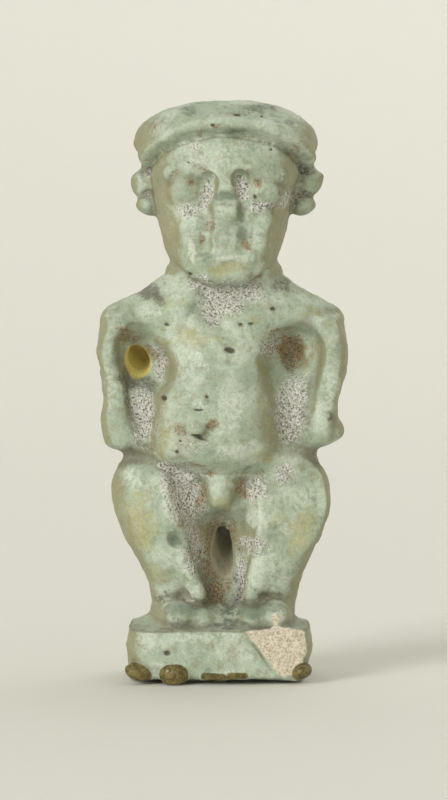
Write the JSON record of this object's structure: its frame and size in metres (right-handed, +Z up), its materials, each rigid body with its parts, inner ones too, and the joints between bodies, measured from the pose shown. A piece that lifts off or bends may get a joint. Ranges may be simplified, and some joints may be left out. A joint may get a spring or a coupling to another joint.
{
  "type": "pataikos amulet",
  "caption": "Small standing dwarf-god amulet of pale green glazed ware with a flat cap, hands at the waist and a block base, pierced at one armpit for a cord.",
  "frame": {"origin": "middle of the bounding box at the plane of the underside", "axes": "+Z up along the figure, front faces -Y, the figure's left hand is on +X"},
  "size_m": [0.0253, 0.0177, 0.0581],
  "materials": {
    "faience": "worn matt glaze, pale mint green with olive edges, grey-lilac hollows and rust-brown stains"
  },
  "bodies": {
    "root": {"pataikos_amulet": "faience"}
  },
  "joints": []
}
